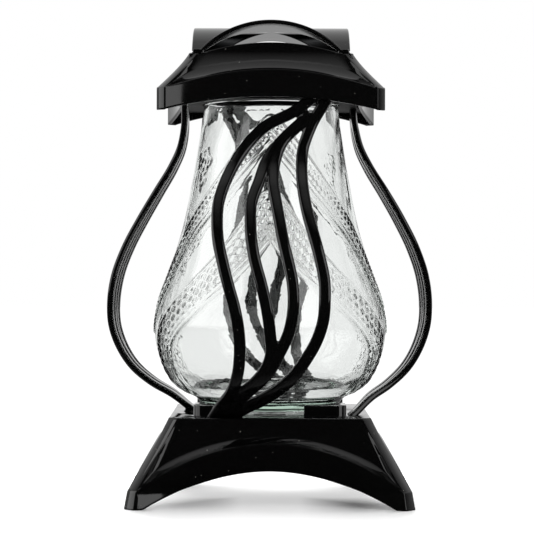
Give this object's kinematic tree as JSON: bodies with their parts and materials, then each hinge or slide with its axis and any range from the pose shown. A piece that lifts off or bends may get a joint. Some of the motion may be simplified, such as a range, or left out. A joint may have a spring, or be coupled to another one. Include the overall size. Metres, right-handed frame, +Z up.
{
  "type": "grave lantern",
  "caption": "Grave lantern: pear-shaped pressed glass jar between S-curved grilles, on a coved four-footed base, under a lift-off pagoda roof with a cross-vaulted vent cap.",
  "frame": {"origin": "on the floor, in the middle of the four feet", "axes": "+Z up, front towards -Y, +X to the viewer's right"},
  "size_m": [0.22, 0.22, 0.321],
  "materials": {
    "casing": "glossy black injection-moulded plastic",
    "jar_glass": "clear, slightly green pressed glass",
    "shield_metal": "plain aluminium sheet",
    "spring_steel": "dark spring steel"
  },
  "bodies": {
    "stand": {"base": "casing", "glass_jar": "jar_glass", "grille_front": "casing", "grille_right": "casing", "grille_back": "casing", "grille_left": "casing", "top_frame": "casing"},
    "lid": {"roof": "casing", "vent_cap": "casing", "heat_shield": "shield_metal", "push_nuts": "spring_steel"}
  },
  "joints": [
    {"name": "roof_lift", "type": "slide", "parent": "stand", "child": "lid", "axis": [0, 0, 1], "range_m": [0, 0.08]}
  ]
}
